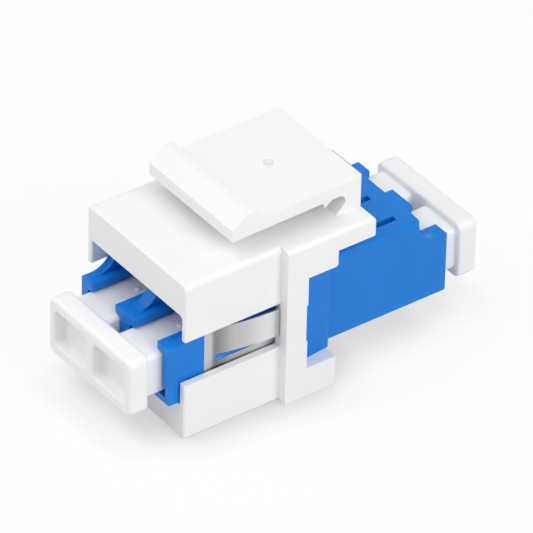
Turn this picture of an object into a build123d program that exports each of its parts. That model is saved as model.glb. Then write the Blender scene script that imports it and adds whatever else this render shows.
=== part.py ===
from build123d import *
import math
import os

# Duplex fibre keystone jack: a snap-in housing that carries a two-port LC adapter.
# X is the width, -Y the room side, +Y the cable side and +Z up.
# The sizes are measured from the housing's front face, and the finished part is moved
# so that its origin is on the resting plane below the middle of its whole length.

# Two-port adapter, blue, moulded in two halves that meet at the collar
adapter_width = 12.9
adapter_bottom = 3.44
adapter_height = 8.81
adapter_length = 29.65
adapter_top_round = 0.3
adapter_base_round = 0.1
adapter_toe_round = 0.25
port_pitch = 6.25
port_axis_rise = 3.06
port_width = 4.9
port_floor = 0.76
port_roof = 0.7
port_web = 1.2
port_relief = 0.45
port_relief_height = 1.0
port_relief_depth = 3.3
rail_rise = 6.11
rail_thickness = 0.5
rail_reach = 0.78
rail_fillet = 0.35
scoop_flat = 0.9
scoop_radius = 2.2
shoulder_window_width = 0.65
shoulder_window_length = 3.0
shoulder_window_offset = 1.83
shoulder_window_start = 4.7
collar_side = 0.55
collar_length = 3.5
collar_flat = 1.2
collar_taper = 0.25
collar_below = 0.48
collar_above = 0.33
collar_round = 0.3
collar_root = 0.3

# Keystone housing, one white moulding round the adapter
body_depth = 10.0
hood_wall = 0.6
hood_side_gap = 0.2
hood_roof = 3.5
hood_gap = 0.4
hood_drop = 6.0
hood_top_round = 0.55
hood_inner_round = 0.3
wall_end_round = 0.25
edge_ease = 0.12
tray_height = 5.65
tray_wall = 0.65
base_round = 0.15
channel_gap = 0.1
flange_step = 0.975
flange_round = 0.4
column_depth = 2.25
column_relief = 0.13
column_relief_rise = 0.25
foot_gap = 0.01
foot_reach = 3.1
foot_round = 0.4
skirt_gap = 0.04
skirt_reach = 3.1
shelf_reach = 7.1
shelf_thickness = 2.0
shelf_round = 0.15
profile_round = 0.25

# Flexing latch over the hood, moulded with the housing
latch_width = 12.14
latch_plate = 1.3
latch_gap = 1.85
latch_front = 5.6
latch_front_sag = 0.2
latch_nose = 1.2
latch_ridge_height = 0.95
latch_ramp_length = 1.6
latch_ridge_land = 0.85
latch_ridge_back = 0.2
latch_corner_round = 0.35
latch_root = 1.7
latch_gusset = 1.0
latch_seat_gap = 0.05
latch_swing = 6.5
nib_length = 1.1
nib_drop = 0.6
nib_width = 0.6
nib_setback = 3.85
dimple_diameter = 1.1
dimple_depth = 0.12
dimple_setback = 5.25

# Alignment sleeves and their two-part holder
sleeve_bore = 1.25
sleeve_diameter = 1.6
sleeve_length = 6.8
sleeve_slit = 0.3
sleeve_gap = 0.05
sleeve_end_gap = 0.4
holder_wall = 0.45
holder_lip = 0.6
holder_lip_ease = 0.075
holder_plate = 1.425
holder_plate_height = 4.2
holder_corner_round = 0.45
holder_gap = 0.05
pocket_wall = 0.95

# Spring clip, one strip of stainless steel folded round the adapter
clip_thickness = 0.25
clip_setback = 9.65
clip_length = 8.6
clip_return = 3.2
clip_window_margin = 1.1
clip_slot = 0.65
clip_slot_round = 0.28
tab_low_gap = 1.3
tab_high_gap = 0.4
tab_fold = 1.45
tab_bulge = 0.62
tab_bulge_at = 0.52
tab_end_offset = 0.85
tab_end_gap = 0.08

# Duplex dust caps, one at each end
cap_width = 12.1
cap_height = 5.8
cap_depth = 2.0
cap_rise = 0.06
cap_round = 0.8
cap_edge_ease = 0.3
cap_stand_off = 1.75
recess_width = 4.65
recess_height = 3.6
recess_depth = 1.15
recess_pitch = 5.7
recess_round = 0.55
plug_gap = 0.15
plug_head_gap = 0.55
plug_round = 0.45
plug_length = 9.0
plug_bore = 3.2
plug_bore_depth = 7.0
plug_nose = 0.3
bump_diameter = 0.6
bump_crown = 0.3
bump_height = 0.12
bump_setback = 5.1

# How far a cutting block runs past what it cuts, and past the whole part
overcut = 1.0
far = 60.0
# How exactly an edge has to lie on a plane to be picked there
pick_tolerance = 0.001

# Places worked out from the sizes above
adapter_top = adapter_bottom + adapter_height
port_floor_top = adapter_bottom + port_floor
port_roof_bottom = adapter_top - port_roof
port_axis_height = adapter_bottom + port_axis_rise
port_depth = adapter_length / 2 - holder_plate - port_web
rail_top = adapter_bottom + rail_rise
rail_bottom = rail_top - rail_thickness

body_width = adapter_width + 2 * (hood_side_gap + hood_wall)
body_height = adapter_top + hood_gap + hood_roof
hood_inside = body_height - hood_roof
hood_bottom = body_height - hood_drop
flange_width = body_width + 2 * flange_step
column_rear = body_depth + column_depth
foot_height = adapter_bottom - collar_below - foot_gap
skirt_bottom = adapter_top + collar_above + skirt_gap
shelf_bottom = body_height - shelf_thickness
shelf_rear = column_rear + shelf_reach

latch_bottom = body_height + latch_gap
latch_top = latch_bottom + latch_plate
hinge_y = shelf_rear - latch_plate / 2
hinge_z = latch_top - latch_plate / 2

middle_y = column_rear + holder_plate
adapter_start = middle_y - adapter_length / 2
holder_reach = sleeve_length / 2 + sleeve_end_gap + holder_lip
holder_diameter = sleeve_diameter + 2 * (sleeve_gap + holder_wall)
holder_lip_bore = sleeve_bore + 2 * holder_lip_ease
holder_plate_width = adapter_width - 2 * pocket_wall

clip_front = column_rear - clip_setback
tab_low = tray_height + tab_low_gap
tab_high = hood_bottom - tab_high_gap

cap_bottom = adapter_bottom + cap_rise
plug_width = port_width - 2 * plug_gap
plug_bottom = port_floor_top + plug_gap
plug_height = rail_bottom - plug_head_gap - plug_bottom


def block(x_range, y_range, z_range):
    """A box between two limits along each axis."""
    ranges = (x_range, y_range, z_range)
    spans = [high - low for low, high in ranges]
    middle = [(low + high) / 2 for low, high in ranges]
    return Pos(*middle) * Box(*spans)


def across(profile, width):
    """A side profile in Y and Z, extruded to a width along X, half to each side."""
    face = Plane.YZ.offset(-width / 2) * profile
    return extrude(face, width, dir=(1, 0, 0))


def along(profile, start, end):
    """A front profile in X and Z, extruded along Y."""
    face = Plane.XZ.offset(-start) * profile
    return extrude(face, end - start, dir=(0, 1, 0))


def lengthwise(x, y, z):
    """A place for a cylinder whose axis runs along Y."""
    return Pos(x, y, z) * Rot(90, 0, 0)


def outline(*points):
    """A closed face through points in the order given."""
    return make_face(Polyline(*points, close=True))


def rectangle(half_width, low, high):
    """A front rectangle, symmetric about the middle plane."""
    return outline((-half_width, low), (half_width, low), (half_width, high), (-half_width, high))


def rounded_at(face, radius, *corners):
    """The face with a fillet at each of the named corners."""
    picked = [min(face.vertices(), key=lambda v: (v.X - x) ** 2 + (v.Y - y) ** 2) for x, y in corners]
    return fillet(picked, radius)


def edges_on(solid, direction, axis, place):
    """The edges that run in one direction and lie at one place along another axis."""
    low, high = place - pick_tolerance, place + pick_tolerance
    return solid.edges().filter_by(direction).filter_by_position(axis, low, high)


def mirrored_lengthwise(solid):
    """The same solid turned end for end about the adapter's middle."""
    return mirror(solid, Plane.XZ.offset(-middle_y))


def hood_and_tray():
    """The front box, with its open sides between the hood walls and the tray walls."""
    half = body_width / 2
    front = rectangle(half, 0, body_height)
    front = rounded_at(front, hood_top_round, (-half, body_height), (half, body_height))
    front = rounded_at(front, base_round, (-half, 0), (half, 0))
    shell = along(front, 0, body_depth)

    middle = (tray_height + hood_bottom) / 2
    hood_half = half - hood_wall
    upper = rectangle(hood_half, middle, hood_inside)
    upper = rounded_at(upper, hood_inner_round, (-hood_half, hood_inside), (hood_half, hood_inside))
    lower = rectangle(half - tray_wall, adapter_bottom - channel_gap, middle)
    shell -= along(upper, -overcut, body_depth)
    shell -= along(lower, -overcut, body_depth)
    shell -= block((-far, far), (-overcut, body_depth), (tray_height, hood_bottom))

    shell = fillet(edges_on(shell, Axis.Y, Axis.Z, hood_bottom), wall_end_round)
    front_faces = shell.faces().sort_by(Axis.Y)[0:2]
    rim = [edge for edge in front_faces.edges()
           if edge.center().Z > body_height - hood_top_round or edge.center().Z < base_round]
    return chamfer(rim, edge_ease)


def frame_and_shelf():
    """The stop flange, the columns, the rear shelf over the adapter and the foot under it."""
    foot_end = column_rear + foot_reach
    skirt_end = column_rear + skirt_reach
    side = outline(
        (body_depth, 0), (foot_end, 0), (foot_end, foot_height), (column_rear, foot_height),
        (column_rear, skirt_bottom), (skirt_end, skirt_bottom), (skirt_end, shelf_bottom),
        (shelf_rear, shelf_bottom), (shelf_rear, body_height), (body_depth, body_height))
    side = rounded_at(side, foot_round, (foot_end, 0))
    side = rounded_at(side, profile_round, (skirt_end, skirt_bottom), (shelf_rear, shelf_bottom))
    solid = across(side, flange_width)
    solid = fillet(edges_on(solid, Axis.Z, Axis.Y, shelf_rear), shelf_round)
    solid = fillet(edges_on(solid, Axis.Y, Axis.Z, body_height), flange_round)

    way_half = adapter_width / 2 + channel_gap
    way = (adapter_bottom - channel_gap, adapter_top + channel_gap)
    solid -= block((-way_half, way_half), (0, column_rear), way)
    relief = (tray_height + column_relief_rise, tab_high)
    return solid - block((-far, far), (column_rear - column_relief, column_rear + overcut), relief)


def latch_plan():
    """The latch's plan, with its two rear corners rounded, as a tall block."""
    half = latch_width / 2
    plan = outline((-half, 0), (half, 0), (half, shelf_rear), (-half, shelf_rear))
    plan = rounded_at(plan, latch_corner_round, (-half, shelf_rear), (half, shelf_rear))
    return extrude(plan, far)


def latch_root_wall():
    """The upright at the rear of the shelf, up to the bend, with the seat of the latch."""
    buried = body_height - shelf_thickness / 2
    front = shelf_rear - latch_root
    seat_edge = latch_bottom - latch_seat_gap
    front_top = seat_edge - (hinge_y - front) * math.tan(math.radians(latch_swing))
    root = outline(
        (front - latch_gusset, buried), (shelf_rear, buried), (shelf_rear, hinge_z), (hinge_y, seat_edge),
        (front, front_top), (front, body_height + latch_gusset), (front - latch_gusset, body_height))
    seat = Pos(0, hinge_y, hinge_z) * Rot(0, 90, 0) * Cylinder(latch_plate / 2 + latch_seat_gap, far)
    return (across(root, latch_width) & latch_plan()) - seat


def keystone_housing():
    """The one-piece housing without the flexing part of its latch."""
    return hood_and_tray() + frame_and_shelf() + latch_root_wall()


def latch_arm():
    """The latch plate with its catch ridge, its rounded seat at the rear and two nibs below."""
    nose_bottom = latch_bottom - latch_front_sag
    ridge_top = latch_top + latch_ridge_height
    ridge_front = latch_front + latch_ramp_length
    ridge_end = ridge_front + latch_ridge_land
    ridge_foot = ridge_end + latch_ridge_back
    profile = outline(
        (latch_front, nose_bottom), (latch_front, nose_bottom + latch_nose), (ridge_front, ridge_top),
        (ridge_end, ridge_top), (ridge_foot, latch_top), (shelf_rear, latch_top), (shelf_rear, hinge_z),
        (hinge_y, hinge_z), (hinge_y, latch_bottom))
    profile = rounded_at(profile, latch_ridge_back, (ridge_foot, latch_top))
    plate = across(profile, latch_width)
    plate += Pos(0, hinge_y, hinge_z) * Rot(0, 90, 0) * Cylinder(latch_plate / 2, latch_width)
    plate = plate & latch_plan()

    nib_y = shelf_rear - nib_setback
    nib = outline((nib_y - nib_length / 2, latch_bottom), (nib_y + nib_length / 2, latch_bottom),
                  (nib_y, latch_bottom - nib_drop))
    nib_x = (latch_width - nib_width) / 2
    plate += [Pos(side * nib_x, 0, 0) * across(nib, nib_width) for side in (-1, 1)]
    dimple = Pos(0, shelf_rear - dimple_setback, latch_top) * Cylinder(dimple_diameter / 2, 2 * dimple_depth)
    return plate - dimple


def port_profile(centre):
    """One port seen from its end: plug way, neck between the rails and latch way."""
    half = port_width / 2
    neck = half - rail_reach
    face = outline(
        (centre - half, port_floor_top), (centre + half, port_floor_top),
        (centre + half, rail_bottom), (centre + neck, rail_bottom), (centre + neck, rail_top),
        (centre + half, rail_top), (centre + half, port_roof_bottom), (centre - half, port_roof_bottom),
        (centre - half, rail_top), (centre - neck, rail_top), (centre - neck, rail_bottom),
        (centre - half, rail_bottom))
    return rounded_at(face, rail_fillet, (centre - half, rail_bottom), (centre + half, rail_bottom))


def scoop():
    """What the concave cut takes off the top of the adapter's front end."""
    outside = adapter_start - overcut
    bend = adapter_start + scoop_flat
    end = bend + scoop_radius
    crest = rail_top + scoop_radius
    sky = adapter_top + overcut
    flat = Line((outside, rail_top), (bend, rail_top))
    curve = CenterArc((bend, crest), scoop_radius, -90, 90)
    rest = Polyline((end, crest), (end, sky), (outside, sky), (outside, rail_top))
    return across(make_face(flat + curve + rest), far)


def shoulder_windows():
    """The roof windows that a plug's latch shoulders spring up into."""
    start = adapter_start + shoulder_window_start
    half = shoulder_window_width / 2
    cuts = []
    for side in (-1, 1):
        for shoulder in (-1, 1):
            x = side * port_pitch / 2 + shoulder * shoulder_window_offset
            through = (port_roof_bottom - overcut, adapter_top + overcut)
            cuts.append(block((x - half, x + half), (start, start + shoulder_window_length), through))
    return cuts


def adapter_section():
    """The adapter's outer section, with softened upper and nearly sharp lower corners."""
    half = adapter_width / 2
    face = rectangle(half, adapter_bottom, adapter_top)
    face = rounded_at(face, adapter_base_round, (-half, adapter_bottom), (half, adapter_bottom))
    return rounded_at(face, adapter_top_round, (-half, adapter_top), (half, adapter_top))


def ported_half(end):
    """The outer box from the front face to a given place, with its two ports."""
    toe = (adapter_start, adapter_bottom)
    side = outline(toe, (end, adapter_bottom), (end, adapter_top), (adapter_start, adapter_top))
    side = rounded_at(side, adapter_toe_round, toe)
    solid = along(adapter_section(), adapter_start, end) & across(side, far)
    outside = adapter_start - overcut
    relief_half = port_width / 2 + port_relief
    relief_y = (outside, adapter_start + port_relief_depth)
    relief_z = (port_floor_top, port_floor_top + port_relief_height)
    for side in (-1, 1):
        x = side * port_pitch / 2
        solid -= along(port_profile(x), outside, adapter_start + port_depth)
        solid -= block((x - relief_half, x + relief_half), relief_y, relief_z)
    solid -= scoop()
    for cut in shoulder_windows():
        solid -= cut
    return solid


def holder_holes():
    """The two holes that the holder tubes pass through."""
    hole = Cylinder(holder_diameter / 2 + holder_gap, far)
    return [lengthwise(side * port_pitch / 2, middle_y, port_axis_height) * hole for side in (-1, 1)]


def holder_pocket(gap):
    """The space behind the front half that the two holder plates fill."""
    half_x = holder_plate_width / 2 + gap
    half_z = holder_plate_height / 2 + gap
    return block((-half_x, half_x), (column_rear, middle_y + holder_plate + gap),
                 (port_axis_height - half_z, port_axis_height + half_z))


def clip_core():
    """The part of the adapter that is left inside the steel strip."""
    half = adapter_width / 2 - clip_thickness
    return block((-half, half), (0, far), (adapter_bottom + clip_thickness, adapter_top - clip_thickness))


def adapter_front_half():
    """The front moulding, which ends where the collar starts, with the clip's shallow groove."""
    groove = block((-far, far), (clip_front, clip_front + clip_length), (-far, far)) - clip_core()
    solid = ported_half(column_rear) - groove
    for hole in holder_holes():
        solid -= hole
    return solid


def adapter_collar():
    """The ring round the rear half that bears on the columns."""
    half = adapter_width / 2 + collar_side
    bend = column_rear + collar_flat
    end = column_rear + collar_length
    low = adapter_bottom - collar_below
    high = adapter_top + collar_above
    plan = outline((-half, column_rear), (half, column_rear), (half, bend), (half - collar_taper, end),
                   (collar_taper - half, end), (-half, bend))
    ring = extrude(Plane.XY.offset(low) * plan, high - low)
    ring = fillet(ring.faces().sort_by(Axis.Y)[-1].edges(), collar_round)
    inner = adapter_width / 2 - collar_root
    return ring - block((-inner, inner), (0, far), (adapter_bottom + collar_root, adapter_top - collar_root))


def adapter_rear_half():
    """The rear moulding with its collar and the pocket for the holder."""
    solid = mirrored_lengthwise(ported_half(2 * middle_y - column_rear)) + adapter_collar()
    for hole in holder_holes():
        solid -= hole
    return solid - holder_pocket(holder_gap)


def sleeve_holder(side):
    """One half of the holder: a plate with two tubes that keep the sleeves in line."""
    start, end = sorted((middle_y, middle_y + side * holder_plate))
    half_x = holder_plate_width / 2
    half_z = holder_plate_height / 2
    plate = block((-half_x, half_x), (start, end), (port_axis_height - half_z, port_axis_height + half_z))
    holder = fillet(plate.edges().filter_by(Axis.Y), holder_corner_round)
    room = holder_reach - holder_lip
    tube = Cylinder(holder_diameter / 2, holder_reach)
    lip_hole = Cylinder(holder_lip_bore / 2, far)
    seat = Cylinder(sleeve_diameter / 2 + sleeve_gap, room)
    for x in (-port_pitch / 2, port_pitch / 2):
        holder += lengthwise(x, middle_y + side * holder_reach / 2, port_axis_height) * tube
    for x in (-port_pitch / 2, port_pitch / 2):
        holder -= lengthwise(x, middle_y, port_axis_height) * lip_hole
        holder -= lengthwise(x, middle_y + side * room / 2, port_axis_height) * seat
    return holder


def alignment_sleeve(side):
    """A split zirconia sleeve that holds two ferrules in line."""
    x = side * port_pitch / 2
    axis = lengthwise(x, middle_y, port_axis_height)
    tube = axis * Cylinder(sleeve_diameter / 2, sleeve_length) - axis * Cylinder(sleeve_bore / 2, far)
    slit = block((x - sleeve_slit / 2, x + sleeve_slit / 2), (-far, far),
                 (port_axis_height, port_axis_height + sleeve_diameter))
    return tube - slit


def clip_tab(side):
    """One bowed retaining tab, folded out of the side of the strip."""
    face_x = adapter_width / 2
    fold_y = clip_front + tab_fold
    tip_y = body_depth - tab_end_gap
    middle = fold_y + tab_bulge_at * (tip_y - fold_y)
    outer = ThreePointArc((face_x, fold_y), (face_x + tab_bulge, middle), (face_x + tab_end_offset, tip_y))
    inner = ThreePointArc((face_x - clip_thickness, fold_y), (face_x + tab_bulge - clip_thickness, middle),
                          (face_x + tab_end_offset - clip_thickness, tip_y))
    ends = Line(outer @ 0, inner @ 0) + Line(outer @ 1, inner @ 1)
    tab = extrude(Plane.XY.offset(tab_low) * make_face(outer + inner + ends), tab_high - tab_low)
    return tab if side > 0 else mirror(tab, Plane.YZ)


def clip_window():
    """The window in each side of the strip, seen from the side, round the root of its tab."""
    start = clip_front + clip_window_margin
    end = clip_front + clip_length - clip_window_margin
    fold = clip_front + tab_fold
    low = tab_low - clip_slot
    high = tab_high + clip_slot
    window = outline((start, low), (end, low), (end, high), (start, high))
    window -= outline((start, tab_low), (fold, tab_low), (fold, tab_high), (start, tab_high))
    slot_ends = [(start, z) for z in (low, tab_low, tab_high, high)]
    return rounded_at(window, clip_slot_round, *slot_ends)


def spring_clip():
    """The steel strip round the roof, sides and floor edges, with its two tabs."""
    wrap = along(adapter_section(), clip_front, clip_front + clip_length) - clip_core()
    seam = adapter_width / 2 - clip_return
    wrap -= block((-seam, seam), (0, far), (adapter_bottom - overcut, adapter_bottom + overcut))
    wrap -= across(clip_window(), far)
    return wrap + clip_tab(1) + clip_tab(-1)


def cap_plug(x, back):
    """One cored plug, with the small bump that grips in the port."""
    centre = Pos(x, plug_bottom + plug_height / 2)
    tip = back + plug_length
    rod = along(centre * RectangleRounded(plug_width, plug_height, plug_round), back, tip)
    rod = chamfer(rod.faces().sort_by(Axis.Y)[-1].edges(), plug_nose)
    rod -= along(centre * Circle(plug_bore / 2), tip - plug_bore_depth, tip + overcut)
    bump = Cone(bump_diameter / 2, bump_crown / 2, 2 * bump_height)
    return rod + Pos(x, back + bump_setback, plug_bottom + plug_height) * bump


def dust_cap():
    """The front duplex cap: a grip block with two recesses and two plugs."""
    back = adapter_start - cap_stand_off
    face = back - cap_depth
    half = cap_width / 2
    top = cap_bottom + cap_height
    section = rounded_at(rectangle(half, cap_bottom, top), cap_round,
                         (-half, cap_bottom), (half, cap_bottom), (half, top), (-half, top))
    cap = along(section, face, back)
    cap = chamfer(cap.faces().sort_by(Axis.Y)[0].edges(), cap_edge_ease)

    recess = RectangleRounded(recess_width, recess_height, recess_round)
    for side in (-1, 1):
        opening = Pos(side * recess_pitch / 2, cap_bottom + cap_height / 2) * recess
        cap -= along(opening, face - overcut, face + recess_depth)
    for side in (-1, 1):
        cap += cap_plug(side * port_pitch / 2, back)
    return cap


nodes = {
    "keystone_housing": keystone_housing(),
    "latch_arm": latch_arm(),
    "adapter_front_half": adapter_front_half(),
    "adapter_rear_half": adapter_rear_half(),
    "sleeve_holder_front": sleeve_holder(-1),
    "sleeve_holder_rear": sleeve_holder(1),
    "alignment_sleeve_left": alignment_sleeve(-1),
    "alignment_sleeve_right": alignment_sleeve(1),
    "spring_clip": spring_clip(),
    "front_dust_cap": dust_cap(),
    "rear_dust_cap": mirrored_lengthwise(dust_cap()),
}

os.makedirs("parts", exist_ok=True)
origin_shift = Pos(0, -middle_y, 0)
for name, solid in nodes.items():
    export_step(origin_shift * solid, f"parts/{name}.step")
    box = solid.bounding_box()
    print(f"{name}: {len(solid.solids())} solid, {solid.volume:.2f} mm3, "
          f"x {box.min.X:.2f}..{box.max.X:.2f} y {box.min.Y:.2f}..{box.max.Y:.2f} "
          f"z {box.min.Z:.2f}..{box.max.Z:.2f}")
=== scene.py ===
import math

import bmesh
import bpy
from mathutils import Matrix, Vector


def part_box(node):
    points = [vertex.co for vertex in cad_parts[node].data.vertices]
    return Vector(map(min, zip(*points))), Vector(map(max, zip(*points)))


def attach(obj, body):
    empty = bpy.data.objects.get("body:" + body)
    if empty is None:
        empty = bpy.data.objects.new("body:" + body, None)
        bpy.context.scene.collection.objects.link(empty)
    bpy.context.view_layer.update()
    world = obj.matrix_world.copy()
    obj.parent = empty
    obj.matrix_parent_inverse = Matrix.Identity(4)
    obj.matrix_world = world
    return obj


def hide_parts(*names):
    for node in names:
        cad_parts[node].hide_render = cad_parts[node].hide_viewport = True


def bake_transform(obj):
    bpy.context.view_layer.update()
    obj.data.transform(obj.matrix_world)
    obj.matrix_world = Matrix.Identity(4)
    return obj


MM = 0.001

# The photograph's camera, found from the straight edges of the housing
PHOTO_WIDTH = 533
CAMERA_AZIMUTH = math.radians(53.127)
CAMERA_ELEVATION = math.radians(36.513)
CAMERA_ROLL = math.radians(1.396)
CAMERA_DISTANCE = 629.57 * MM
CAMERA_FOCAL_PIXELS = 7281.77
CAMERA_AIM = Vector((0, 0.325, 9)) * MM
CAMERA_SLIDE = Vector((0.144, 0.713)) * MM
SENSOR_WIDTH = 36

# Studio
WHITE = (1, 1, 1, 1)
FLOOR_SIZE = 4
FLOOR_SQUARES = 8
FLOOR_WHITE = (0.78, 0.78, 0.78, 1)
FLOOR_ROUGHNESS = 0.9
FLOOR_SPECULAR = 0.1
FLOOR_GLOW = 1.03
FLOOR_GLOW_SHARE = 0.87
FLOOR_SHADOW_REACH = 4.5 * MM
FLOOR_SHADOW_DEPTH = 0.4
FLOOR_SHADOW_SAMPLES = 16
WORLD_LEVEL = 0.3
LAMPS = {
    "top_softbox": {"place": (-20, -90, 370), "size": 420, "power": 0.39},
    "right_softbox": {"place": (320, 60, 240), "size": 260, "power": 0.78},
    "front_softbox": {"place": (-100, -235, 270), "size": 460, "power": 0.64},
}

# The plastics: a slow drift between two tones, and the fine grain of the mould
DRIFT_SCALE = 170
DRIFT_DETAIL = 3
DRIFT_DARK_BELOW = 0.35
DRIFT_LIGHT_ABOVE = 0.65
GRAIN_DETAIL = 4
GRAIN_STRENGTH = 0.35
GLOSSIER_BY = 0.05
DULLER_BY = 0.07
GLOW_WEIGHT = 0.4

# The clip's steel, with its rolling lines and a painted highlight: a lighter colour on the faces and
# rounded edges that look upwards
ROLLING_STRETCH = (9000, 260, 9000)
ROLLING_DETAIL = 5
ROLLING_DARK = (0.85, 0.85, 0.86, 1)
ROLLING_STRENGTH = 0.2
ROLLING_DEPTH = 0.002 * MM
STEEL_GLOSSIEST = 0.24
STEEL_DULLEST = 0.36
PAINTED_TOP_HIGHLIGHT = (0.96, 0.96, 0.97, 1)
TOP_HIGHLIGHT_FROM = 0.5
TOP_HIGHLIGHT_TO = 0.8

# Painted shade and painted reflection along a tab, dark at its fold, light past the middle and dark again
# at its end: the share of the way from its front fold, and the colour there
TAB_SHADE_FROM = -11.2 * MM
TAB_SHADE_TO = -3.2 * MM
PAINTED_TAB_LIGHT_AND_SHADE = [
    (0.0, (0.64, 0.64, 0.65)),
    (0.09, (0.6, 0.6, 0.61)),
    (0.155, (0.27, 0.27, 0.28)),
    (0.42, (0.56, 0.56, 0.57)),
    (0.8, (0.8, 0.8, 0.81)),
    (1.0, (0.44, 0.44, 0.45)),
]

# Softened arrises of the moulded and stamped pieces
EDGE_ANGLE = math.radians(28)
FLAT_ANGLE = math.radians(0.6)
WELD_DISTANCE = 0.002 * MM
MOULDED_EDGE = 0.14 * MM
ADAPTER_EDGE = 0.14 * MM
STEEL_EDGE = 0.06 * MM
EDGE_SEGMENTS = 3
SMOOTH_ANGLE = math.radians(35)

# When two coordinates count as one, a face looks along an axis and an edge runs along it
NEAR = 0.004 * MM
FACING = 0.9
PARALLEL = 0.999

# The number of sides of a drilled or pressed round
ROD_SIDES = 48

# The latch: how far it wraps the moulding's own root, and its section
LATCH_SKIN = 0.015 * MM
LATCH_WALL = 1.8 * MM
LATCH_PLATE = 1.3 * MM
LATCH_GAP = 1.85 * MM
LATCH_BURIED = 0.1 * MM
LATCH_CORNER = 0.35 * MM
GUSSET = 1.0 * MM
SLOT_ROUND = 0.68 * MM
RIDGE_HEIGHT = 0.95 * MM
RIDGE_BACK = 0.2 * MM
RIDGE_LAND = 0.85 * MM
RIDGE_RAMP = 1.6 * MM
NOSE_HEIGHT = 1.2 * MM
NOSE_SAG = 0.2 * MM
NIB_INSET = 0.35 * MM
NIB_FRONT = 0.33 * MM
NIB_BACK = 1.17 * MM
NIB_DROP = 0.88 * MM
NIB_WIDTH = 0.6 * MM
NIB_ROUND = 0.06 * MM
NIB_SETBACK = 3.72 * MM
DIMPLE_RADIUS = 0.48 * MM
DIMPLE_DEPTH = 0.14 * MM
DIMPLE_SETBACK = 5.57 * MM
DIMPLE_FLOOR_ROUND = 0.02 * MM
DIMPLE_RIM = 0.02 * MM
FLEX_START = 0.35 * MM
FLEX_LENGTH = 0.9 * MM
FLEX_LOOPS = 6

# The dust caps: the grip, its two recesses and the two plugs
GRIP_DEPTH = 2.0 * MM
GRIP_CORNER = 0.75 * MM
GRIP_RIM = 0.38 * MM
GRIP_BACK_RIM = 0.25 * MM
RECESS_WIDTH = 4.65 * MM
RECESS_HEIGHT = 3.6 * MM
RECESS_DEPTH = 1.15 * MM
RECESS_PITCH = 5.7 * MM
RECESS_CORNER = 0.55 * MM
RECESS_FLOOR_ROUND = 0.22 * MM
RECESS_LIP = 0.16 * MM
PLUG_PITCH = 6.25 * MM
PLUG_WIDTH = 4.6 * MM
PLUG_BELOW = 0.85 * MM
PLUG_HEIGHT = 4.27 * MM
PLUG_CORNER = 0.45 * MM
PLUG_NOSE = 0.3 * MM
PLUG_BORE = 1.6 * MM
PLUG_BORE_DEPTH = 7.0 * MM
BUMP_RADIUS = 0.3 * MM
BUMP_HEIGHT = 0.15 * MM
BUMP_SETBACK = 5.33 * MM

# The heads of the port walls, whose undersides guide the plugs
PORT_HALF = 2.45 * MM
RAIL_REACH = 0.78 * MM
RAIL_TOP = 6.11 * MM
RAIL_THICK = 0.82 * MM
RAIL_LENGTH = 12.2 * MM
RAIL_ROOT = 0.35 * MM
RAIL_EDGE = 0.14 * MM
RAIL_SKIN = 0.012 * MM
RAIL_BITE = 0.12 * MM


def deselect():
    """Leave edit mode with nothing selected."""
    if bpy.context.object and bpy.context.object.mode != "OBJECT":
        bpy.ops.object.mode_set(mode="OBJECT")
    bpy.ops.object.select_all(action="DESELECT")


def pick(obj):
    """Select one object alone and make it the active one."""
    deselect()
    obj.select_set(True)
    bpy.context.view_layer.objects.active = obj


def edit(obj):
    """Open one object in edit mode with nothing in it selected."""
    pick(obj)
    bpy.ops.object.mode_set(mode="EDIT")
    bpy.ops.mesh.select_all(action="DESELECT")


def block(name, low, high):
    """A cube drawn out to a box between two corners, left open in edit mode."""
    deselect()
    bpy.ops.mesh.primitive_cube_add(size=1, location=(low + high) / 2)
    obj = bpy.context.object
    obj.name = name
    obj.scale = high - low
    bpy.ops.object.transform_apply(location=True, rotation=True, scale=True)
    edit(obj)
    return obj


def rod(name, centre, radius, depth, axis="Z"):
    """A cylinder round a centre, along one axis, left open in edit mode."""
    deselect()
    turn = {"Z": (0, 0, 0), "Y": (math.radians(90), 0, 0)}[axis]
    bpy.ops.mesh.primitive_cylinder_add(vertices=ROD_SIDES, radius=radius, depth=depth,
                                        location=centre, rotation=turn)
    obj = bpy.context.object
    obj.name = name
    bpy.ops.object.transform_apply(location=True, rotation=True, scale=True)
    edit(obj)
    return obj


def choose(obj, kind, test):
    """Select only the faces, edges or vertices of an open object that pass a test."""
    bpy.ops.mesh.select_mode(type={"faces": "FACE", "edges": "EDGE", "verts": "VERT"}[kind])
    bpy.ops.mesh.select_all(action="DESELECT")
    mesh = bmesh.from_edit_mesh(obj.data)
    mesh.normal_update()
    for element in getattr(mesh, kind):
        if test(element):
            element.select_set(True)
    mesh.select_flush_mode()
    bmesh.update_edit_mesh(obj.data)


def extrude(x=0, y=0, z=0):
    """Draw the selected faces out."""
    bpy.ops.mesh.extrude_region_move(TRANSFORM_OT_translate={"value": (x, y, z)})


def shift(x=0, y=0, z=0):
    """Move what is selected."""
    bpy.ops.transform.translate(value=(x, y, z))


def bevel(radius, segments):
    """Round the selected edges."""
    bpy.ops.mesh.bevel(offset=radius, segments=segments, profile=0.5, affect="EDGES", clamp_overlap=True)


def at(value, place):
    """True where a coordinate lies at a place."""
    return abs(value - place) < NEAR


def ends(edge):
    """The two end points of an edge."""
    return edge.verts[0].co, edge.verts[1].co


def runs_along(edge, axis):
    """True for an edge that runs along one axis: 0 for X, 1 for Y and 2 for Z."""
    a, b = ends(edge)
    step = b - a
    return abs(step[axis]) > PARALLEL * step.length


def faces_front(face, place):
    """True for a face that looks to the front, -Y, and lies at one place along Y."""
    return face.normal.y < -FACING and at(face.calc_center_median().y, place)


def on_plane(edge, axis, place):
    """True for an edge with both ends at one place along an axis."""
    a, b = ends(edge)
    return at(a[axis], place) and at(b[axis], place)


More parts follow.
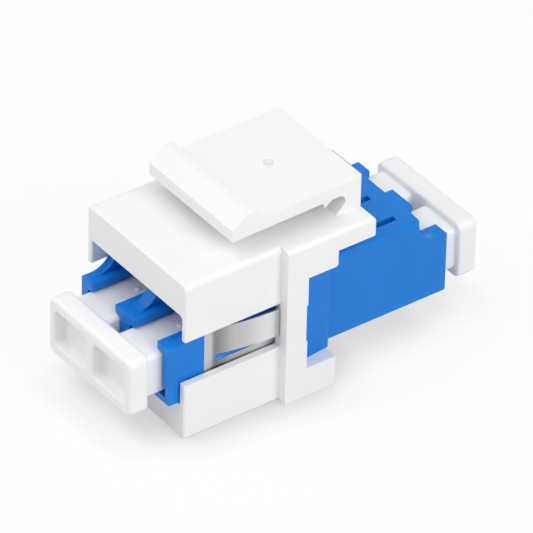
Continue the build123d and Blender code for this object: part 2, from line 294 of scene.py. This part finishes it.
def combine(obj, tool, operation):
    """Join another solid to an object, or cut it away, and delete the other solid."""
    pick(obj)
    cut = obj.modifiers.new("combine", "BOOLEAN")
    cut.operation = operation
    cut.solver = "EXACT"
    cut.object = tool
    bpy.ops.object.modifier_apply(modifier="combine")
    bpy.data.objects.remove(tool)


def soft_edges(obj, width, segments=EDGE_SEGMENTS):
    """A modifier that rounds every sharp edge."""
    edge = obj.modifiers.new("soft_edges", "BEVEL")
    edge.width = width
    edge.segments = segments
    edge.limit_method = "ANGLE"
    edge.angle_limit = EDGE_ANGLE
    return edge


def round_edges(obj, width):
    """Round every remaining sharp edge of a finished solid."""
    pick(obj)
    soft_edges(obj, width)
    bpy.ops.object.modifier_apply(modifier="soft_edges")


def shade(obj):
    """Smooth shading on the rounds, with the flats kept flat."""
    pick(obj)
    bpy.ops.object.shade_smooth_by_angle(angle=SMOOTH_ANGLE)
    obj.modifiers.new("even_shading", "WEIGHTED_NORMAL").keep_sharp = True


def make_camera():
    """The camera that took the photograph."""
    cos_a, sin_a = math.cos(CAMERA_AZIMUTH), math.sin(CAMERA_AZIMUTH)
    cos_e, sin_e = math.cos(CAMERA_ELEVATION), math.sin(CAMERA_ELEVATION)
    back = Vector((sin_a * cos_e, -cos_a * cos_e, sin_e))
    level = Vector((cos_a, sin_a, 0))
    rise = back.cross(level)
    cos_r, sin_r = math.cos(CAMERA_ROLL), math.sin(CAMERA_ROLL)
    right = cos_r * level + sin_r * rise
    up = cos_r * rise - sin_r * level
    place = CAMERA_AIM - CAMERA_SLIDE.x * right - CAMERA_SLIDE.y * up + CAMERA_DISTANCE * back
    lens = bpy.data.cameras.new("photo_camera")
    lens.sensor_width = SENSOR_WIDTH
    lens.lens = CAMERA_FOCAL_PIXELS / PHOTO_WIDTH * SENSOR_WIDTH
    camera = bpy.data.objects.new("photo_camera", lens)
    turn = Matrix((right, up, back)).transposed()
    camera.matrix_world = Matrix.Translation(place) @ turn.to_4x4()
    bpy.context.scene.collection.objects.link(camera)
    bpy.context.scene.camera = camera
    bpy.context.scene.view_settings.view_transform = "Standard"


def rays_that_see_the_backdrop(nodes, links):
    """A socket that is 1 for what the camera sees directly, in gloss or through glass."""
    rays = nodes.new("ShaderNodeLightPath")
    seen = rays.outputs["Is Camera Ray"]
    for kind in ("Is Glossy Ray", "Is Transmission Ray"):
        either = nodes.new("ShaderNodeMath")
        either.operation = "MAXIMUM"
        links.new(seen, either.inputs[0])
        links.new(rays.outputs[kind], either.inputs[1])
        seen = either.outputs[0]
    return seen


def make_world():
    """Even studio light, shown as a white backdrop."""
    world = bpy.data.worlds.new("studio")
    world.use_nodes = True
    nodes, links = world.node_tree.nodes, world.node_tree.links
    light = nodes["Background"]
    light.inputs["Color"].default_value = WHITE
    light.inputs["Strength"].default_value = WORLD_LEVEL
    backdrop = nodes.new("ShaderNodeBackground")
    backdrop.inputs["Color"].default_value = WHITE
    mix = nodes.new("ShaderNodeMixShader")
    links.new(rays_that_see_the_backdrop(nodes, links), mix.inputs["Fac"])
    links.new(light.outputs[0], mix.inputs[1])
    links.new(backdrop.outputs[0], mix.inputs[2])
    links.new(mix.outputs[0], nodes["World Output"].inputs["Surface"])
    bpy.context.scene.world = world


def aim(obj, target):
    """Turn a lamp so that it shines at a point."""
    obj.rotation_mode = "QUATERNION"
    obj.rotation_quaternion = (target - obj.location).to_track_quat("-Z", "Y")


def make_lamps():
    """Three softboxes: overhead, at the right and behind, and at the left in front."""
    for name, lamp in LAMPS.items():
        light = bpy.data.lights.new(name, "AREA")
        light.energy = lamp["power"]
        light.size = lamp["size"] * MM
        softbox = bpy.data.objects.new(name, light)
        softbox.location = Vector(lamp["place"]) * MM
        bpy.context.scene.collection.objects.link(softbox)
        aim(softbox, CAMERA_AIM)


def make_floor():
    """The white table top, which shows only the part's soft shadow."""
    deselect()
    bpy.ops.mesh.primitive_grid_add(x_subdivisions=FLOOR_SQUARES, y_subdivisions=FLOOR_SQUARES,
                                    size=FLOOR_SIZE)
    floor = bpy.context.object
    floor.name = "studio_floor"
    material = bpy.data.materials.new("white_table")
    material.use_nodes = True
    nodes, links = material.node_tree.nodes, material.node_tree.links
    card = nodes["Principled BSDF"]
    card.inputs["Base Color"].default_value = FLOOR_WHITE
    card.inputs["Roughness"].default_value = FLOOR_ROUGHNESS
    card.inputs["Specular IOR Level"].default_value = FLOOR_SPECULAR
    nearness = nodes.new("ShaderNodeAmbientOcclusion")
    nearness.inputs["Distance"].default_value = FLOOR_SHADOW_REACH
    nearness.samples = FLOOR_SHADOW_SAMPLES
    shadow = nodes.new("ShaderNodeMapRange")
    shadow.inputs["To Min"].default_value = FLOOR_SHADOW_DEPTH * FLOOR_GLOW
    shadow.inputs["To Max"].default_value = FLOOR_GLOW
    links.new(nearness.outputs["AO"], shadow.inputs["Value"])
    glow = nodes.new("ShaderNodeEmission")
    links.new(shadow.outputs["Result"], glow.inputs["Strength"])
    share = nodes.new("ShaderNodeMath")
    share.operation = "MULTIPLY"
    share.inputs[1].default_value = FLOOR_GLOW_SHARE
    mix = nodes.new("ShaderNodeMixShader")
    links.new(rays_that_see_the_backdrop(nodes, links), share.inputs[0])
    links.new(share.outputs[0], mix.inputs["Fac"])
    links.new(card.outputs[0], mix.inputs[1])
    links.new(glow.outputs[0], mix.inputs[2])
    links.new(mix.outputs[0], nodes["Material Output"].inputs["Surface"])
    floor.data.materials.append(material)


def plastic(name, dark, light, roughness, grain_size, grain_depth, specular=0.5):
    """A moulded plastic: a faint drift of colour, uneven gloss and the tool's fine spark-eroded grain."""
    material = bpy.data.materials.new(name)
    material.use_nodes = True
    nodes, links = material.node_tree.nodes, material.node_tree.links
    shader = nodes["Principled BSDF"]
    shader.inputs["Specular IOR Level"].default_value = specular
    place = nodes.new("ShaderNodeTexCoord")

    drift = nodes.new("ShaderNodeTexNoise")
    drift.inputs["Scale"].default_value = DRIFT_SCALE
    drift.inputs["Detail"].default_value = DRIFT_DETAIL
    links.new(place.outputs["Object"], drift.inputs["Vector"])
    tone = nodes.new("ShaderNodeValToRGB")
    tone.color_ramp.elements[0].position = DRIFT_DARK_BELOW
    tone.color_ramp.elements[0].color = (*dark, 1)
    tone.color_ramp.elements[1].position = DRIFT_LIGHT_ABOVE
    tone.color_ramp.elements[1].color = (*light, 1)
    links.new(drift.outputs["Fac"], tone.inputs["Fac"])
    links.new(tone.outputs["Color"], shader.inputs["Base Color"])

    grain = nodes.new("ShaderNodeTexNoise")
    grain.inputs["Scale"].default_value = 1 / grain_size
    grain.inputs["Detail"].default_value = GRAIN_DETAIL
    links.new(place.outputs["Object"], grain.inputs["Vector"])
    gloss = nodes.new("ShaderNodeMapRange")
    gloss.inputs["To Min"].default_value = roughness - GLOSSIER_BY
    gloss.inputs["To Max"].default_value = roughness + DULLER_BY
    links.new(grain.outputs["Fac"], gloss.inputs["Value"])
    links.new(gloss.outputs["Result"], shader.inputs["Roughness"])
    bump = nodes.new("ShaderNodeBump")
    bump.inputs["Strength"].default_value = GRAIN_STRENGTH
    bump.inputs["Distance"].default_value = grain_depth
    links.new(grain.outputs["Fac"], bump.inputs["Height"])
    links.new(bump.outputs["Normal"], shader.inputs["Normal"])
    return material


def soft_plastic(name, dark, light, roughness, grain_size, grain_depth, glow_depth):
    """A soft moulded plastic that lets a little light through its walls."""
    material = plastic(name, dark, light, roughness, grain_size, grain_depth)
    shader = material.node_tree.nodes["Principled BSDF"]
    shader.inputs["Subsurface Weight"].default_value = GLOW_WEIGHT
    shader.inputs["Subsurface Radius"].default_value = (1, 1, 1)
    shader.inputs["Subsurface Scale"].default_value = glow_depth
    return material


def rolled_steel():
    """Stainless strip with fine rolling lines, painted shade and painted reflection along a tab, and a
    painted highlight on the faces that look upwards.
    """
    material = bpy.data.materials.new("clip_steel")
    material.use_nodes = True
    nodes, links = material.node_tree.nodes, material.node_tree.links
    shader = nodes["Principled BSDF"]
    shader.inputs["Metallic"].default_value = 1
    place = nodes.new("ShaderNodeTexCoord")
    stretch = nodes.new("ShaderNodeMapping")
    stretch.inputs["Scale"].default_value = ROLLING_STRETCH
    links.new(place.outputs["Object"], stretch.inputs["Vector"])
    lines = nodes.new("ShaderNodeTexNoise")
    lines.inputs["Scale"].default_value = 1
    lines.inputs["Detail"].default_value = ROLLING_DETAIL
    links.new(stretch.outputs["Vector"], lines.inputs["Vector"])
    tone = nodes.new("ShaderNodeValToRGB")
    tone.color_ramp.elements[0].color = ROLLING_DARK
    tone.color_ramp.elements[1].color = WHITE
    links.new(lines.outputs["Fac"], tone.inputs["Fac"])
    split = nodes.new("ShaderNodeSeparateXYZ")
    links.new(place.outputs["Object"], split.inputs[0])
    # Painted shade and painted reflection: a colour ramp along Y darkens the tab at its fold and its end
    # and lightens it past the middle
    along = nodes.new("ShaderNodeMapRange")
    along.inputs["From Min"].default_value = TAB_SHADE_FROM
    along.inputs["From Max"].default_value = TAB_SHADE_TO
    links.new(split.outputs["Y"], along.inputs["Value"])
    painted_tab_tone = nodes.new("ShaderNodeValToRGB")
    painted_tab_tone.color_ramp.interpolation = "EASE"
    painted_tab_tone.color_ramp.elements[0].color = (*PAINTED_TAB_LIGHT_AND_SHADE[0][1], 1)
    painted_tab_tone.color_ramp.elements[1].color = (*PAINTED_TAB_LIGHT_AND_SHADE[-1][1], 1)
    for position, colour in PAINTED_TAB_LIGHT_AND_SHADE[1:-1]:
        painted_tab_tone.color_ramp.elements.new(position).color = (*colour, 1)
    links.new(along.outputs["Result"], painted_tab_tone.inputs["Fac"])
    paint = nodes.new("ShaderNodeMix")
    paint.data_type = "RGBA"
    paint.blend_type = "MULTIPLY"
    paint.inputs["Factor"].default_value = 1
    links.new(painted_tab_tone.outputs["Color"], paint.inputs["A"])
    links.new(tone.outputs["Color"], paint.inputs["B"])
    # Painted highlight: faces whose normal points upwards are given a near-white colour
    facing = nodes.new("ShaderNodeSeparateXYZ")
    links.new(place.outputs["Normal"], facing.inputs[0])
    top_highlight = nodes.new("ShaderNodeMapRange")
    top_highlight.inputs["From Min"].default_value = TOP_HIGHLIGHT_FROM
    top_highlight.inputs["From Max"].default_value = TOP_HIGHLIGHT_TO
    links.new(facing.outputs["Z"], top_highlight.inputs["Value"])
    edges = nodes.new("ShaderNodeMix")
    edges.data_type = "RGBA"
    edges.inputs["B"].default_value = PAINTED_TOP_HIGHLIGHT
    links.new(top_highlight.outputs["Result"], edges.inputs["Factor"])
    links.new(paint.outputs["Result"], edges.inputs["A"])
    links.new(edges.outputs["Result"], shader.inputs["Base Color"])
    gloss = nodes.new("ShaderNodeMapRange")
    gloss.inputs["To Min"].default_value = STEEL_GLOSSIEST
    gloss.inputs["To Max"].default_value = STEEL_DULLEST
    links.new(lines.outputs["Fac"], gloss.inputs["Value"])
    links.new(gloss.outputs["Result"], shader.inputs["Roughness"])
    bump = nodes.new("ShaderNodeBump")
    bump.inputs["Strength"].default_value = ROLLING_STRENGTH
    bump.inputs["Distance"].default_value = ROLLING_DEPTH
    links.new(lines.outputs["Fac"], bump.inputs["Height"])
    links.new(bump.outputs["Normal"], shader.inputs["Normal"])
    return material


def dress(obj, material):
    """Give an object one material in place of what it came with."""
    obj.data.materials.clear()
    obj.data.materials.append(material)


def soften(obj, width, segments=EDGE_SEGMENTS):
    """Round the arrises of a CAD piece, as a moulding tool or a tumbler leaves them."""
    weld = obj.modifiers.new("weld", "WELD")
    weld.merge_threshold = WELD_DISTANCE
    flat = obj.modifiers.new("whole_faces", "DECIMATE")
    flat.decimate_type = "DISSOLVE"
    flat.angle_limit = FLAT_ANGLE
    edge = soft_edges(obj, width, segments)
    edge.use_clamp_overlap = True
    edge.harden_normals = False
    smooth = obj.modifiers.new("even_shading", "WEIGHTED_NORMAL")
    smooth.keep_sharp = True


def latch_nib(side, half, tip, under):
    """A small tooth under the latch plate near one edge: steep in front, sloping behind."""
    outer = side * (half - NIB_INSET)
    inner = outer - side * NIB_WIDTH
    root = under + LATCH_PLATE / 2
    low = Vector((min(inner, outer), tip - NIB_FRONT, under - NIB_DROP))
    high = Vector((max(inner, outer), tip + NIB_BACK, under))
    nib = block("nib", low, high)
    choose(nib, "verts", lambda v: at(v.co.z, low.z) and at(v.co.y, low.y))
    shift(y=NIB_FRONT)
    choose(nib, "verts", lambda v: at(v.co.z, low.z) and at(v.co.y, high.y))
    shift(y=-NIB_BACK)
    bpy.ops.mesh.select_all(action="SELECT")
    bpy.ops.mesh.remove_doubles(threshold=NEAR)
    choose(nib, "faces", lambda f: f.normal.z > FACING)
    extrude(z=root - under)
    choose(nib, "edges", lambda e: on_plane(e, 1, tip) and runs_along(e, 0))
    bevel(NIB_ROUND, segments=3)
    return nib


def model_latch():
    """The latch with its root, drawn out of one block: wall, plate, catch ridge, ramp and nose."""
    low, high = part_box("latch_arm")
    half = high.x + LATCH_SKIN
    rear = high.y + LATCH_SKIN
    front = rear - LATCH_WALL
    nose = low.y
    top = high.z - RIDGE_HEIGHT
    under = top - LATCH_PLATE
    shelf = under - LATCH_GAP
    knee = shelf + GUSSET

    foot = Vector((-half, front, shelf - LATCH_BURIED))
    latch = block("housing_latch", foot, Vector((half, rear, knee)))
    choose(latch, "faces", lambda f: f.normal.z > FACING)
    extrude(z=under - knee)
    extrude(z=LATCH_PLATE)

    ridge_front = nose + RIDGE_RAMP
    ridge_end = ridge_front + RIDGE_LAND
    ridge_foot = ridge_end + RIDGE_BACK
    sections = [
        (ridge_foot, top),
        (ridge_end, high.z),
        (ridge_front, high.z),
        (nose, under - NOSE_SAG + NOSE_HEIGHT),
    ]
    last_y, last_top, last_under = front, top, under
    for y, crest in sections:
        keel = under - NOSE_SAG * (front - y) / (front - nose)
        choose(latch, "faces", lambda f: faces_front(f, last_y) and f.calc_center_median().z > under)
        extrude(y=y - last_y)
        choose(latch, "verts", lambda v: at(v.co.y, y) and at(v.co.z, last_top))
        shift(z=crest - last_top)
        choose(latch, "verts", lambda v: at(v.co.y, y) and at(v.co.z, last_under))
        shift(z=keel - last_under)
        last_y, last_top, last_under = y, crest, keel

    choose(latch, "faces", lambda f: faces_front(f, front) and f.calc_center_median().z < knee)
    extrude(y=-GUSSET)
    choose(latch, "verts", lambda v: at(v.co.y, front - GUSSET) and at(v.co.z, knee))
    shift(z=-GUSSET)

    choose(latch, "edges", lambda e: on_plane(e, 1, front) and on_plane(e, 2, under))
    bevel(SLOT_ROUND, segments=8)
    choose(latch, "edges", lambda e: on_plane(e, 1, rear) and runs_along(e, 2))
    bevel(LATCH_CORNER, segments=5)
    for loop in range(FLEX_LOOPS + 1):
        level = shelf + FLEX_START + FLEX_LENGTH * loop / FLEX_LOOPS
        bpy.ops.mesh.select_all(action="SELECT")
        bpy.ops.mesh.bisect(plane_co=(0, 0, level), plane_no=(0, 0, 1))
    round_edges(latch, MOULDED_EDGE)

    for side in (-1, 1):
        combine(latch, latch_nib(side, half, rear - NIB_SETBACK, under), "UNION")
    centre = Vector((0, rear - DIMPLE_SETBACK, top))
    dimple = rod("dimple", centre, DIMPLE_RADIUS, 2 * DIMPLE_DEPTH)
    choose(dimple, "edges", lambda e: on_plane(e, 2, top - DIMPLE_DEPTH))
    bevel(DIMPLE_FLOOR_ROUND, segments=2)
    combine(latch, dimple, "DIFFERENCE")
    edit(latch)
    choose(latch, "edges", lambda e: on_plane(e, 2, top) and all(
        abs((point - centre).length - DIMPLE_RADIUS) < NEAR for point in ends(e)))
    bevel(DIMPLE_RIM, segments=2)
    shade(latch)
    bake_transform(latch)
    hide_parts("latch_arm")
    return latch


def paint_dimple_shade(latch, material):
    """Give the dimple, where the mould was filled, its own rougher face, whose darker colour is painted
    shade in the dimple.
    """
    latch.data.materials.append(material)
    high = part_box("latch_arm")[1]
    top = high.z - RIDGE_HEIGHT
    middle_y = high.y + LATCH_SKIN - DIMPLE_SETBACK
    for face in latch.data.polygons:
        reach = math.hypot(face.center.x, face.center.y - middle_y)
        if reach < DIMPLE_RADIUS + DIMPLE_RIM and top - DIMPLE_DEPTH - NEAR < face.center.z < top - NEAR:
            face.material_index = 1


def recess_cutter(x, face, middle):
    """The soft-cornered pocket in the face of the grip."""
    low = Vector((x - RECESS_WIDTH / 2, face - RECESS_DEPTH, middle - RECESS_HEIGHT / 2))
    high = Vector((x + RECESS_WIDTH / 2, face + RECESS_DEPTH, middle + RECESS_HEIGHT / 2))
    cutter = block("recess", low, high)
    choose(cutter, "edges", lambda e: runs_along(e, 1))
    bevel(RECESS_CORNER, segments=6)
    choose(cutter, "edges", lambda e: on_plane(e, 1, high.y))
    bevel(RECESS_FLOOR_ROUND, segments=5)
    return cutter


def cap_plug(x, back, tip, bottom):
    """One plug with its core, its eased nose and its small grip bump."""
    low = Vector((x - PLUG_WIDTH / 2, back - GRIP_BACK_RIM, bottom))
    high = Vector((x + PLUG_WIDTH / 2, tip, bottom + PLUG_HEIGHT))
    plug = block("plug", low, high)
    choose(plug, "edges", lambda e: runs_along(e, 1))
    bevel(PLUG_CORNER, segments=5)
    choose(plug, "edges", lambda e: on_plane(e, 1, tip))
    bevel(PLUG_NOSE, segments=3)
    centre = Vector((x, tip, (low.z + high.z) / 2))
    combine(plug, rod("bore", centre, PLUG_BORE, 2 * PLUG_BORE_DEPTH, "Y"), "DIFFERENCE")
    deselect()
    bpy.ops.mesh.primitive_uv_sphere_add(segments=24, ring_count=12, radius=BUMP_RADIUS,
                                         location=(x, back + BUMP_SETBACK, high.z))
    bump = bpy.context.object
    bump.scale = (1, 1, BUMP_HEIGHT / BUMP_RADIUS)
    bpy.ops.object.transform_apply(location=True, rotation=True, scale=True)
    combine(plug, bump, "UNION")
    return plug


def model_dust_cap():
    """The front duplex dust cap: a soft-edged grip with two pockets, and two plugs."""
    low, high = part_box("front_dust_cap")
    face = low.y
    back = face + GRIP_DEPTH
    middle = (low.z + high.z) / 2
    cap = block("dust_cap_front", low, Vector((high.x, back, high.z)))
    choose(cap, "edges", lambda e: runs_along(e, 1))
    bevel(GRIP_CORNER, segments=7)
    choose(cap, "edges", lambda e: on_plane(e, 1, face))
    bevel(GRIP_RIM, segments=5)
    choose(cap, "edges", lambda e: on_plane(e, 1, back))
    bevel(GRIP_BACK_RIM, segments=4)
    for side in (-1, 1):
        combine(cap, recess_cutter(side * RECESS_PITCH / 2, face, middle), "DIFFERENCE")
    edit(cap)
    reach_x = RECESS_PITCH / 2 + RECESS_WIDTH / 2 + NEAR
    reach_z = RECESS_HEIGHT / 2 + NEAR
    choose(cap, "edges", lambda e: on_plane(e, 1, face) and len(e.link_faces) == 2
           and e.calc_face_angle() > EDGE_ANGLE
           and all(abs(p.x) < reach_x and abs(p.z - middle) < reach_z for p in ends(e)))
    bevel(RECESS_LIP, segments=4)
    for side in (-1, 1):
        combine(cap, cap_plug(side * PLUG_PITCH / 2, back, high.y, low.z + PLUG_BELOW), "UNION")
    shade(cap)
    return cap


def port_rail(name, root_low, root_high, reach_low, reach_high):
    """The head of one port wall: a root that sits in the wall and lips that reach over the ports."""
    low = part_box("adapter_front_half")[0]
    front = low.y - RAIL_SKIN
    back = low.y + RAIL_LENGTH
    top = low.z + RAIL_TOP + RAIL_SKIN
    under = low.z + RAIL_TOP - RAIL_THICK
    foot = under - RAIL_ROOT - RAIL_EDGE
    rail = block(name, Vector((root_low, front, foot)), Vector((root_high, back, under)))
    choose(rail, "faces", lambda f: f.normal.z > FACING)
    extrude(z=top - under)
    lips = []
    for root, reach, facing in ((root_low, reach_low, -1), (root_high, reach_high, 1)):
        if abs(reach - root) > NEAR:
            choose(rail, "faces", lambda f: f.normal.x * facing > FACING
                   and at(f.calc_center_median().x, root) and f.calc_center_median().z > under)
            extrude(x=reach - root)
            lips.append((root, reach))
    for root, reach in lips:
        choose(rail, "edges", lambda e: on_plane(e, 0, root) and on_plane(e, 2, under))
        bevel(RAIL_ROOT, segments=5)
        choose(rail, "edges", lambda e: on_plane(e, 0, reach) and runs_along(e, 1))
        bevel(RAIL_EDGE, segments=3)
    choose(rail, "edges", lambda e: on_plane(e, 1, front) and e.calc_face_angle() > EDGE_ANGLE and not (
        on_plane(e, 0, root_low) or on_plane(e, 0, root_high) or on_plane(e, 2, foot)))
    bevel(RAIL_EDGE, segments=3)
    return rail


def model_port_rails():
    """The three heads over the front ports, joined as one piece of the adapter's moulding."""
    web = PLUG_PITCH / 2 - PORT_HALF + RAIL_SKIN
    wall = PLUG_PITCH / 2 + PORT_HALF - RAIL_SKIN
    deep = wall + RAIL_BITE
    bars = [
        port_rail("port_rails_front", -web, web, -web - RAIL_REACH, web + RAIL_REACH),
        port_rail("right_rail", wall, deep, wall - RAIL_REACH, deep),
        port_rail("left_rail", -deep, -wall, -deep, RAIL_REACH - wall),
    ]
    deselect()
    for bar in bars:
        bar.select_set(True)
    bpy.context.view_layer.objects.active = bars[0]
    bpy.ops.object.join()
    shade(bars[0])
    return bars[0]


def turned_end_for_end(obj, name):
    """A copy with its own mesh, turned half round about the upright through the part's middle."""
    pick(obj)
    bpy.ops.object.duplicate(linked=False)
    copy = bpy.context.object
    copy.name = name
    copy.rotation_euler.z = math.pi
    bpy.ops.object.transform_apply(location=True, rotation=True, scale=True)
    return copy


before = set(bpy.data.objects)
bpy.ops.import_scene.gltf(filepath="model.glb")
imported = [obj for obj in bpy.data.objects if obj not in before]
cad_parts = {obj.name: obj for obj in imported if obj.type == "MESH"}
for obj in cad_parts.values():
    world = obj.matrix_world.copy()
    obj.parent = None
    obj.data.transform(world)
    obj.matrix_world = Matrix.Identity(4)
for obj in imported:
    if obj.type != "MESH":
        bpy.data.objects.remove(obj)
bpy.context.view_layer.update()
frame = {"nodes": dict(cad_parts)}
deselect()

make_camera()
make_world()
make_lamps()
make_floor()

HOUSING_WHITE = plastic("housing_white", (0.915, 0.915, 0.915), (0.935, 0.935, 0.935),
                        roughness=0.4, grain_size=0.09 * MM, grain_depth=0.004 * MM)
# The darker colour is painted shade in the dimple; the higher roughness makes it duller
DIMPLE_SHADE_GREY = plastic("dimple_painted_shade", (0.75, 0.75, 0.75), (0.8, 0.8, 0.8),
                     roughness=0.6, grain_size=0.06 * MM, grain_depth=0.006 * MM)
ADAPTER_BLUE = plastic("adapter_blue", (0.004, 0.2, 0.7), (0.006, 0.22, 0.74),
                       roughness=0.27, grain_size=0.07 * MM, grain_depth=0.002 * MM, specular=0.22)
CAP_WHITE = soft_plastic("cap_white", (0.915, 0.915, 0.913), (0.935, 0.935, 0.933),
                         roughness=0.45, grain_size=0.12 * MM, grain_depth=0.005 * MM, glow_depth=1.0 * MM)
HOLDER_WHITE = plastic("holder_plastic", (0.8, 0.8, 0.78), (0.84, 0.84, 0.82),
                       roughness=0.5, grain_size=0.1 * MM, grain_depth=0.004 * MM)
ZIRCONIA = plastic("sleeve_zirconia", (0.86, 0.86, 0.83), (0.9, 0.9, 0.87),
                   roughness=0.2, grain_size=0.05 * MM, grain_depth=0.001 * MM)
CLIP_STEEL = rolled_steel()

latch = model_latch()
dress(latch, HOUSING_WHITE)
paint_dimple_shade(latch, DIMPLE_SHADE_GREY)

front_cap = model_dust_cap()
rear_cap = turned_end_for_end(front_cap, "dust_cap_rear")
for cap, end in ((front_cap, "front"), (rear_cap, "rear")):
    dress(cap, CAP_WHITE)
    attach(cap, f"{end}_cap")
    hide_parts(f"{end}_dust_cap")

front_rails = model_port_rails()
rear_rails = turned_end_for_end(front_rails, "port_rails_rear")
for rails in (front_rails, rear_rails):
    dress(rails, ADAPTER_BLUE)
    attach(rails, "housing")

nodes = frame["nodes"]
dress(nodes["keystone_housing"], HOUSING_WHITE)
soften(nodes["keystone_housing"], MOULDED_EDGE)
for name in ("adapter_front_half", "adapter_rear_half"):
    dress(nodes[name], ADAPTER_BLUE)
    soften(nodes[name], ADAPTER_EDGE)
for name in ("sleeve_holder_front", "sleeve_holder_rear"):
    dress(nodes[name], HOLDER_WHITE)
for name in ("alignment_sleeve_left", "alignment_sleeve_right"):
    dress(nodes[name], ZIRCONIA)
dress(nodes["spring_clip"], CLIP_STEEL)
soften(nodes["spring_clip"], STEEL_EDGE, segments=2)
